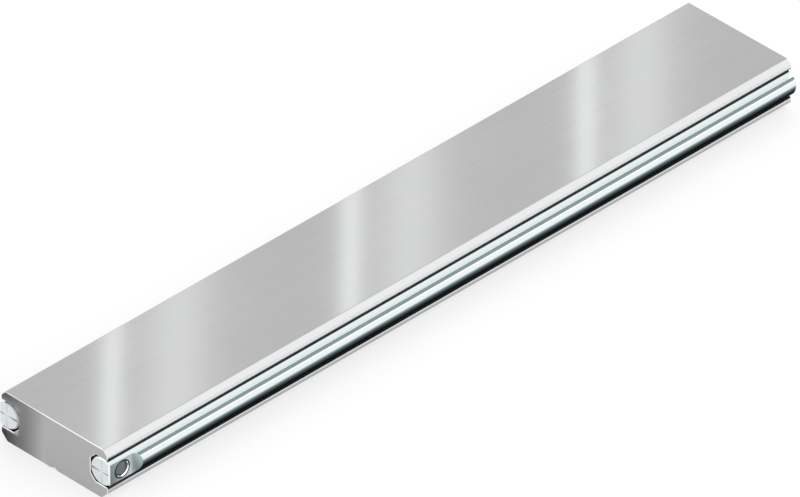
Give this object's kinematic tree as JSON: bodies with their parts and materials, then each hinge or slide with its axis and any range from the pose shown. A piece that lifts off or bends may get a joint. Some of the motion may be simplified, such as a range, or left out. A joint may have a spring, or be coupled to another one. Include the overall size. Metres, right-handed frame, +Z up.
{
  "type": "cam roller guide rail",
  "caption": "Straight guide rail: a flat chamfered aluminium bar with a ground steel raceway shaft set in a channel along each side, pinned at one end, for profiled cam rollers to run on.",
  "frame": {"origin": "middle of the underside, at the centre of the rail's length and width", "axes": "+X along the rail away from the pinned end, +Y to the left of someone who looks along +X, +Z up"},
  "size_m": [0.3, 0.052, 0.0186],
  "materials": {
    "extruded_aluminium": "satin natural anodised extrusion with fine drawn lines along its length and sawn ends",
    "ground_steel": "hardened, ground and polished, with turned end faces and a milled flat",
    "pin_steel": "dull grey steel"
  },
  "bodies": {
    "root": {"carrier_bar": "extruded_aluminium", "left_raceway_shaft": "ground_steel", "right_raceway_shaft": "ground_steel", "left_retaining_pin": "pin_steel", "right_retaining_pin": "pin_steel"}
  },
  "joints": []
}
